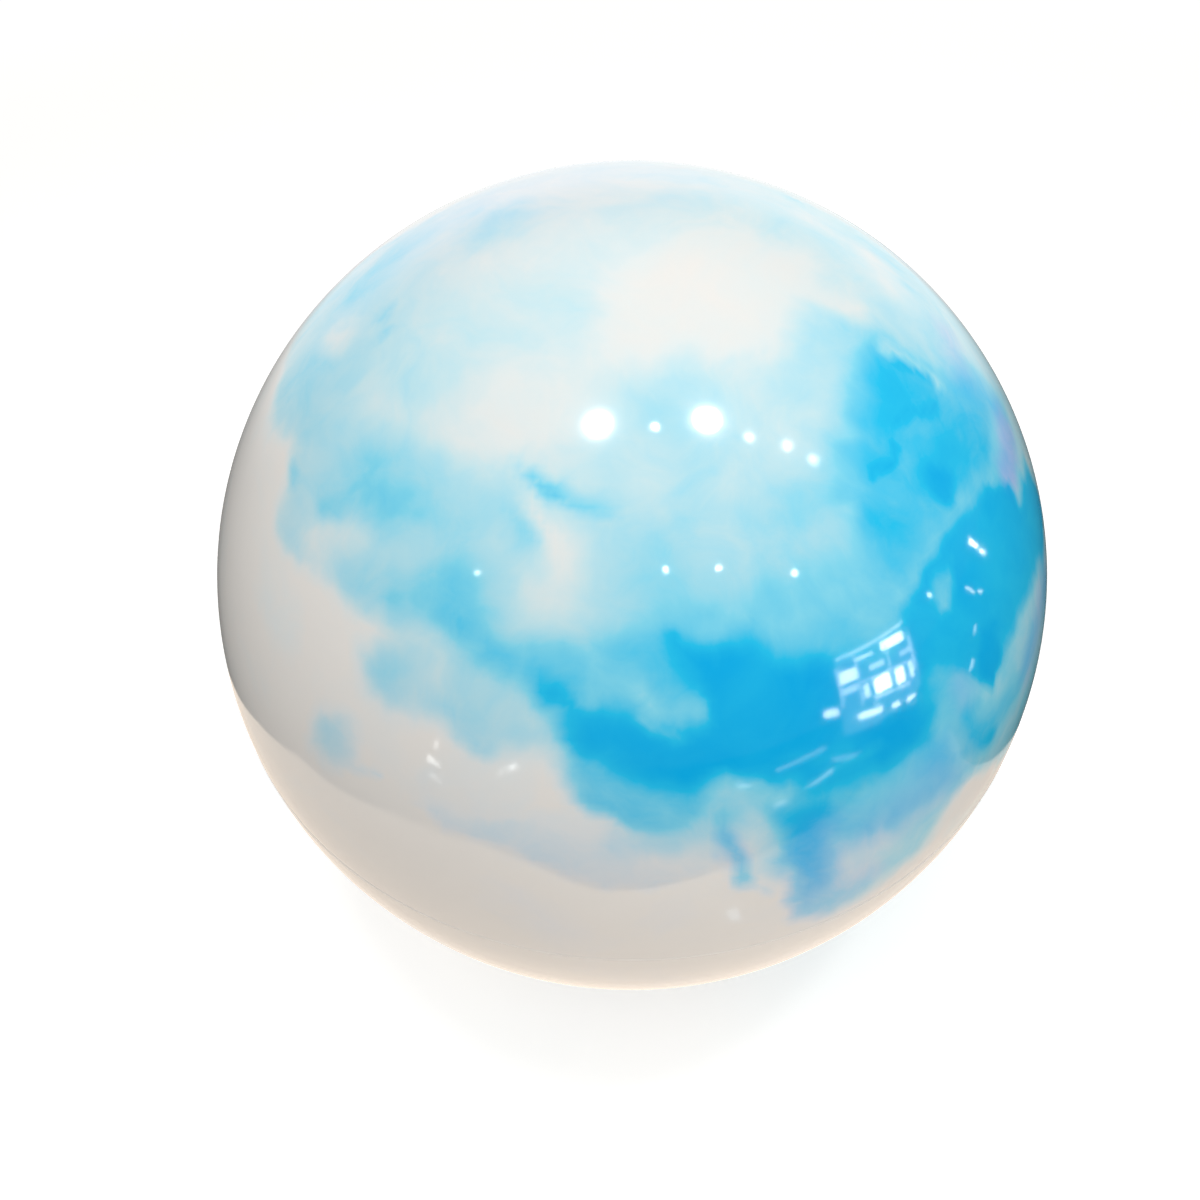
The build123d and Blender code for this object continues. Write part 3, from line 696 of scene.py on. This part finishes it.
# nothing goes below the floor, and the air side stays the skin's thickness above it
is_inside = math_node(relief, "SUBTRACT", 1.0, is_outside)
above_floor = math_node(relief, "MULTIPLY", is_inside, given["Thickness"])
lowest = math_node(relief, "ADD", given["Floor"], above_floor)
place = axes(relief, place)
pressed = relief.nodes.new("ShaderNodeCombineXYZ")
relief.links.new(place["X"], pressed.inputs["X"])
relief.links.new(place["Y"], pressed.inputs["Y"])
relief.links.new(math_node(relief, "MAXIMUM", place["Z"], lowest), pressed.inputs["Z"])
flattened = relief.nodes.new("GeometryNodeSetPosition")
relief.links.new(raised.outputs[0], flattened.inputs["Geometry"])
relief.links.new(pressed.outputs[0], flattened.inputs["Position"])
real = relief.nodes.new("GeometryNodeRealizeInstances")
relief.links.new(flattened.outputs[0], real.inputs[0])
finish = relief.nodes.new("GeometryNodeSetMaterial")
relief.links.new(real.outputs[0], finish.inputs["Geometry"])
relief.links.new(given["Material"], finish.inputs["Material"])
relief.links.new(finish.outputs[0], given_back["Geometry"])

press = skin_shape.modifiers.new("relief", "NODES")
press.node_group = relief
relief_sizes = {
    "Centre": ball_centre, "Parting Height": parting_height, "Parting Width": parting_width,
    "Swell": 0.0003, "Swell Size": 0.07, "Floor": 0.0, "Thickness": skin_thickness, "Material": marbled,
}
for item in relief.interface.items_tree:
    if item.in_out == "INPUT" and item.name in relief_sizes:
        press[item.identifier] = relief_sizes[item.name]
bpy.context.view_layer.update()
evaluated = skin_shape.evaluated_get(bpy.context.evaluated_depsgraph_get())
skin = bpy.data.objects.new("marbled_skin", bpy.data.meshes.new_from_object(evaluated))
bpy.context.scene.collection.objects.link(skin)
bpy.data.objects.remove(skin_shape)
skin.data.shade_smooth()
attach(skin, "ball")
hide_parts("ball_shell")

# ---------------------------------------------------------------------------------------------
# Valve seat: a stiffer white vinyl collar and sleeve, fused into the skin's opening, with a
# round notch for a finger-nail beside the plug's head.
# ---------------------------------------------------------------------------------------------


def milky_vinyl(node, name, ior, gloss, dull, patch_scale, peel_scale, milk_scale, dark, light):
    """A stiff vinyl with slightly uneven milkiness, put on a moulded piece."""
    made, tree, shader, place, its_grain = vinyl(name, ior)
    for socket, value in (
        ("Gloss Roughness", gloss), ("Dull Roughness", dull), ("Patch Scale", patch_scale),
        ("Peel Scale", peel_scale),
    ):
        its_grain.inputs[socket].default_value = value
    milk = colour_ramp(tree, noise(tree, place, milk_scale, 4)[0], ((0.3, dark), (0.7, light)))
    tree.links.new(milk, shader.inputs["Base Color"])
    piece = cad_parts[node]
    piece.data.materials.clear()
    piece.data.materials.append(made)


milky_vinyl(
    "valve_seat", "seat_vinyl", 1.52, gloss=0.22, dull=0.34, patch_scale=160, peel_scale=2200,
    milk_scale=120, dark=(0.74, 0.76, 0.74), light=(0.86, 0.86, 0.83),
)

# ---------------------------------------------------------------------------------------------
# Valve plug: a white moulded stopper with a flat head, flush with the ball, and sealing ribs
# down its stem. It pulls straight out.
# ---------------------------------------------------------------------------------------------

milky_vinyl(
    "valve_plug", "plug_vinyl", 1.5, gloss=0.26, dull=0.4, patch_scale=200, peel_scale=2600,
    milk_scale=150, dark=(0.82, 0.82, 0.8), light=(0.9, 0.9, 0.88),
)

# ---------------------------------------------------------------------------------------------
# Floor: a plain pale sheet that runs evenly into the white of the room, and glowing sheets that
# only the ball's gloss shows, which paint the reflections of a board and of the floor round it.
# ---------------------------------------------------------------------------------------------

floor_reach = 60
floor_mesh = bpy.data.meshes.new("floor")
floor_corners = [(x * floor_reach, y * floor_reach, 0) for x, y in ((-1, -1), (1, -1), (1, 1), (-1, 1))]
floor_mesh.from_pydata(floor_corners, [], [(0, 1, 2, 3)])
floor = bpy.data.objects.new("floor", floor_mesh)
bpy.context.scene.collection.objects.link(floor)
paper = bpy.data.materials.new("floor_paper")
paper.use_nodes = True
tree = paper.node_tree
shader = tree.nodes["Principled BSDF"]
shader.inputs["Roughness"].default_value = 0.9
shader.inputs["Specular IOR Level"].default_value = 0.0
shader.inputs["Emission Color"].default_value = (1, 0.99, 0.975, 1)
# it lights the ball's underside less than it shows, as a floor farther off in shade would
is_bounce = tree.nodes.new("ShaderNodeLightPath").outputs["Is Diffuse Ray"]
paper_tone = mixed(tree, is_bounce, (0.95, 0.94, 0.925, 1), (0.57, 0.52, 0.47, 1))
from_ball = vector_node(tree, "LENGTH", tree.nodes.new("ShaderNodeTexCoord").outputs["Object"])
seen = math_node(tree, "SUBTRACT", 1.0, is_bounce)
seen_far = math_node(tree, "MULTIPLY", fade(tree, from_ball, 1.1, 3.5), seen)
tree.links.new(mixed(tree, seen_far, paper_tone, (0, 0, 0, 1)), shader.inputs["Base Color"])
glow = math_node(tree, "MULTIPLY_ADD", is_bounce, -0.28, 0.38)
glow = math_node(tree, "MULTIPLY_ADD", seen_far, 0.66, glow)
tree.links.new(glow, shader.inputs["Emission Strength"])
floor_mesh.materials.append(paper)


def seen_in_gloss(name, corners, faces, colour, emission):
    """A glowing sheet that paints a reflection: only the ball's gloss shows it, the camera doesn't see it
    and it lights nothing.
    """
    sheet_mesh = bpy.data.meshes.new(name)
    sheet_mesh.from_pydata(corners, [], faces)
    sheet = bpy.data.objects.new(name, sheet_mesh)
    bpy.context.scene.collection.objects.link(sheet)
    made = bpy.data.materials.new(name)
    made.use_nodes = True
    shader = made.node_tree.nodes["Principled BSDF"]
    shader.inputs["Base Color"].default_value = (0, 0, 0, 1)
    shader.inputs["Specular IOR Level"].default_value = 0.0
    shader.inputs["Emission Color"].default_value = (*colour, 1)
    shader.inputs["Emission Strength"].default_value = emission
    sheet_mesh.materials.append(made)
    sheet.visible_camera = False
    sheet.visible_diffuse = False
    sheet.visible_shadow = False
    sheet.visible_transmission = False
    return made.node_tree


# Painted reflection of a pale board with rounded corners under the ball: a glowing sheet that only
# the ball's gloss shows, painted brightest just in front of the ball and dim at its right-hand end
board_reflection_colour = (1.0, 0.85, 0.71)
board = [
    (0.52, 0.0), (0.59, -0.1), (0.67, -0.19), (0.78, -0.27), (0.95, -0.33), (1.2, -0.45), (1.2, -0.7),
    (0.95, -0.85), (0.6, -0.92), (0.26, -0.9), (0.14, -0.87), (0, -0.84), (-0.08, -0.83), (-0.2, -0.89),
    (-0.33, -0.95), (-0.5, -0.93), (-0.65, -0.78), (-0.72, -0.65), (-0.75, -0.4), (-0.78, -0.28),
    (-0.73, -0.17), (-0.68, -0.06), (-0.62, 0.02), (-0.56, 0.1), (-0.4, 0.25), (-0.2, 0.35), (0, 0.4),
    (0.2, 0.35), (0.35, 0.2), (0.45, 0.08),
]
above_floor = 0.001
board_edge = [(x, y, above_floor) for x, y in board]
board_face = tuple(range(len(board)))[::-1]
tree = seen_in_gloss("board_gloss", board_edge, [board_face], board_reflection_colour, 1.3)
across_board = axes(tree, tree.nodes.new("ShaderNodeTexCoord").outputs["Object"])["X"]
board_reflection_glow = colour_ramp(tree, math_node(tree, "MULTIPLY_ADD", across_board, 0.5, 0.5), [
    (position, tuple(level * part for part in board_reflection_colour))
    for position, level in ((0.25, 0.76), (0.48, 1.0), (0.6, 0.95), (0.85, 0.3))
])
tree.links.new(board_reflection_glow, tree.nodes["Principled BSDF"].inputs["Emission Color"])

# Painted reflection of the floor round the board: dull, and brightening towards the wall behind the ball
rim_out = []
for x, y in board:
    from_middle = sqrt(x * x + y * y)
    rim_out.append((floor_reach * x / from_middle, floor_reach * y / from_middle, above_floor))
count = len(board)
ring_faces = [(k, count + k, count + (k + 1) % count, (k + 1) % count) for k in range(count)]
tree = seen_in_gloss("room_floor_gloss", board_edge + rim_out, ring_faces, (1, 1, 1), 1.0)
place = tree.nodes.new("ShaderNodeTexCoord").outputs["Object"]
bearing = vector_node(tree, "NORMALIZE", vector_node(tree, "MULTIPLY", place, (1, 1, 0)))
place = axes(tree, place)
behind = math_node(
    tree, "MULTIPLY", fade(tree, place["Y"], 0.4, 2.0), fade(tree, axes(tree, bearing)["Y"], 0.35, 0.85)
)
# painted shade in that reflection: the dull floor is dimmer towards the right
dull = fade(tree, place["X"], -0.8, 0.5, 0.13, 0.03, eased=False)
floor_reflection_colour = mixed(tree, behind, dull, (0.95, 0.98, 0.98, 1))
tree.links.new(floor_reflection_colour, tree.nodes["Principled BSDF"].inputs["Emission Color"])

# ---------------------------------------------------------------------------------------------
# Camera: in front, about 47 degrees above the ball's middle and 1.2 ball widths from it, as a
# person stands over a ball on the floor.
# ---------------------------------------------------------------------------------------------

camera_height = radians(47)
camera_far = 2.44 * ball_radius
room_right = Vector((1, 0, 0))
room_up = Vector((0, sin(camera_height), cos(camera_height)))
room_back = Vector((0, -cos(camera_height), sin(camera_height)))
# the ball's middle is a little right of the camera's axis and a little above it
to_ball = Vector((0.02894, -0.02244, 1)).normalized()
seen_back = -to_ball
seen_across = Vector((1, 0, 0))
seen_right = (seen_across - seen_across.dot(seen_back) * seen_back).normalized()
seen_down = seen_right.cross(seen_back)


def in_room(i):
    """Direction in the room of the camera's own right, down or forward."""
    return seen_right[i] * room_right - seen_down[i] * room_up + seen_back[i] * room_back


camera_data = bpy.data.cameras.new("camera")
camera_data.sensor_width = 36
camera_data.lens = 27.68
camera_data.clip_start = 0.01
camera = bpy.data.objects.new("camera", camera_data)
bpy.context.scene.collection.objects.link(camera)
camera_matrix = Matrix((in_room(0), -in_room(1), -in_room(2))).transposed().to_4x4()
camera_matrix.translation = ball_centre + room_back * camera_far
camera.matrix_world = camera_matrix
bpy.context.scene.camera = camera
camera_place = camera_matrix.translation.copy()

# ---------------------------------------------------------------------------------------------
# Light: a broad soft light overhead, a fill from the front and the back, a window at the right,
# and the lamps, and the painted reflections of the window's panes that only the gloss shows.
# ---------------------------------------------------------------------------------------------

world = bpy.data.worlds.new("room")
bpy.context.scene.world = world
world.use_nodes = True
tree = world.node_tree
tree.nodes["Background"].inputs["Color"].default_value = (0.98, 0.985, 1.0, 1)
# the room is dimmer in the light that it gives and in the gloss than its plain pale wall
ray = tree.nodes.new("ShaderNodeLightPath").outputs
in_light = math_node(tree, "MULTIPLY", ray["Is Diffuse Ray"], -0.78)
in_gloss = math_node(tree, "MULTIPLY", ray["Is Glossy Ray"], -0.93)
room_level = math_node(tree, "ADD", math_node(tree, "ADD", in_light, in_gloss), 1.04)
# behind the ball the gloss shows a bright wall that fades out upwards
heading = axes(tree, tree.nodes.new("ShaderNodeTexCoord").outputs["Generated"])
wall = math_node(tree, "MULTIPLY", fade(tree, heading["Y"], 0.35, 0.85), fade(tree, heading["Z"], 0.5, 0.05))
wall_gloss = math_node(tree, "MULTIPLY", wall, ray["Is Glossy Ray"])
room_level = math_node(tree, "MULTIPLY_ADD", wall_gloss, 0.85, room_level)
tree.links.new(room_level, tree.nodes["Background"].inputs["Strength"])


def area_light(name, place, target, size, radiance, colour=(1, 1, 1), disk=False, glossy=True, diffuse=True):
    """A square or round area light of a size in metres and a radiance, pointed at a target."""
    data = bpy.data.lights.new(name, "AREA")
    data.shape = "DISK" if disk else "RECTANGLE"
    data.size = size
    if not disk:
        data.size_y = size
    data.energy = radiance * pi * (pi * size * size / 4 if disk else size * size)
    data.color = colour
    made = bpy.data.objects.new(name, data)
    bpy.context.scene.collection.objects.link(made)
    made.location = place
    made.rotation_euler = (Vector(target) - Vector(place)).to_track_quat("-Z", "Y").to_euler()
    made.visible_camera = False
    made.visible_glossy = glossy
    made.visible_diffuse = diffuse


def mirrored(azimuth, elevation):
    """Where on the ball a glint sits, and the way in which the camera's line leaves it."""
    normal = Vector(on_ball(azimuth, elevation).tolist())
    spot = ball_centre + normal * ball_radius
    look = (spot - camera_place).normalized()
    return spot, (look - 2 * look.dot(normal) * normal).normalized()


area_light("overhead", (0, 0.6, 3.0), (0, 0.6, 0), 6, 0.4, (0.98, 0.995, 0.985), glossy=False)
area_light("back_fill", (0.6, 3.2, 2.3), ball_centre, 2.4, 0.4, (0.98, 0.99, 1), glossy=False)
area_light("front_fill", (-1.25, -1.2, 3.1), ball_centre, 2.0, 1.75, (1, 0.985, 0.965), glossy=False)
area_light("window_glow", (2.6, -1.6, 1.1), ball_centre, 1.8, 1.75, (0.97, 0.99, 1), glossy=False)

# Each halo ring: how much wider than the lamp it is, and its share of the lamp's radiance
halo_rings = ((1.12, 0.14), (1.3, 0.085), (1.55, 0.05), (1.9, 0.025), (2.5, 0.011))
halo_gap = 0.01


def lamp(name, azimuth, elevation, far, size, radiance):
    """A lamp whose glint sits at this place of the ball, softer towards its edge."""
    spot, heading = mirrored(azimuth, elevation)
    area_light(name, spot + heading * far, spot, size, radiance, disk=True)
    for ring, (wider, share) in enumerate(halo_rings):
        place = spot + heading * (far + halo_gap + halo_gap * ring)
        halo = f"{name}_halo_{ring}"
        area_light(halo, place, spot, size * wider, radiance * share, disk=True, diffuse=False)


lamp("lamp_left", -5.3, 61.2, far=2.0, size=0.22, radiance=40)
lamp("lamp_right", 15.3, 61.0, far=2.0, size=0.23, radiance=40)
for k, (azimuth, elevation) in enumerate(((5.3, 60.9), (22, 58.5), (28, 56.7), (31.5, 54.6))):
    lamp(f"spot_{k}", azimuth, elevation, far=2.2, size=0.05 if k else 0.06, radiance=55)
for k, (azimuth, elevation) in enumerate(((5, 47.8), (12.2, 47.4), (22.5, 45.4))):
    lamp(f"far_spot_{k}", azimuth, elevation, far=2.6, size=0.05, radiance=45)

# Painted reflections of a gridded window and of the pale streaks of its light on the floor: glowing
# sheets that only the gloss shows and that light nothing. Each pane: the middle of its glint on the
# ball as azimuth and elevation, its width and height in degrees, lean, and brightness.
pane_glints = [
    (32.8, 35.6, 3.4, 0.9, 0, 12), (28.5, 35.5, 2.6, 0.35, 0, 5), (26.2, 34.3, 2.4, 1.2, 0, 8),
    (30, 34.1, 2.2, 0.6, 0, 4), (34.3, 33.9, 1.6, 0.5, 0, 3), (26.0, 32.9, 2.0, 0.6, 0, 4),
    (28.0, 32.1, 0.7, 1.4, 0, 6), (30.2, 32.1, 2.4, 1.6, 0, 14), (32.9, 31.9, 1.3, 1.6, 0, 12),
    (34.6, 31.8, 0.6, 1.8, 0, 6), (23.2, 31.3, 1.8, 0.8, -8, 7), (31, 33.0, 7, 0.22, -3, 3),
    (28.0, 29.7, 3.2, 0.7, -6, 8), (31.6, 29.1, 1.1, 0.6, -6, 8), (33.9, 28.8, 1.3, 0.6, -6, 8),
    (24.8, 33.4, 0.3, 4.0, 0, 3), (30, 32.2, 11, 8, -3, 0.55), (30, 36.5, 10, 0.25, 3, 4),
    (27.2, 33.6, 0.25, 5.5, 0, 3), (31.7, 33.6, 0.25, 5, 0, 3), (29, 31.2, 0.25, 4, 0, 3),
    (35.2, 33.4, 0.35, 3.6, 0, 3), (30.2, 30.9, 3.0, 0.3, -6, 4), (33.0, 30.6, 2.2, 0.3, -6, 4),
    (-21.4, 26.2, 1.6, 0.8, -30, 3), (-21.2, 28.3, 0.5, 1.0, 0, 2), (-21, 24.5, 1.5, 0.3, -20, 2),
    (-12.3, 28.2, 1.0, 0.4, 40, 5), (-13.4, 27.4, 1.2, 0.3, 60, 2), (-20, 45.9, 0.4, 0.2, 0, 40),
    (51.2, 38.3, 1.6, 0.5, -50, 14), (52.3, 36.8, 1.1, 0.4, -50, 12), (40.5, 37.5, 0.7, 0.4, -50, 8),
    (47.2, 34.8, 1.8, 0.2, -50, 6), (49, 33.6, 1.0, 0.2, -40, 5), (44.0, 27.2, 1.4, 0.5, 50, 2),
    (46, 30.6, 1.2, 0.4, 50, 2), (12.4, 26.2, 1.6, 0.6, -15, 2.2), (20.5, 24.6, 4.4, 0.4, 20, 2.2),
    (16.3, 23.2, 1.5, 0.5, 10, 2), (19, 27.6, 6.0, 0.35, 8, 1.4), (25, 25.9, 5.0, 0.5, -12, 1.2),
    (11.4, 8.4, 1.2, 2.6, 15, 1.0),
]
window_glint_colour = (0.96, 0.99, 0.98)
window_glint_brightness = 2.0
pane_far = 3.0
pane_floor_gap = 0.02
# the one tall pane is a dim veil behind the others
veil_behind = 0.3
veil_least_height = 6
for k, (azimuth, elevation, wide, tall, lean, radiance) in enumerate(pane_glints):
    spot, heading = mirrored(azimuth, elevation)
    # a glint that faces down is of something that lies on the floor
    far = pane_far if heading.z > -0.1 else min(pane_far, (spot.z - pane_floor_gap) / -heading.z)
    far += veil_behind if tall > veil_least_height else 0
    lean = radians(lean)
    corners = []
    for x, y in ((-0.5, -0.5), (0.5, -0.5), (0.5, 0.5), (-0.5, 0.5)):
        x, y = x * wide, y * tall
        corner, corner_heading = mirrored(
            azimuth + (x * cos(lean) - y * sin(lean)), elevation + (x * sin(lean) + y * cos(lean))
        )
        corners.append(corner + corner_heading * far)
    radiance *= window_glint_brightness
    seen_in_gloss(f"pane_{k}", corners, [(0, 1, 2, 3)], window_glint_colour, radiance)

bpy.context.scene.view_settings.view_transform = "Standard"
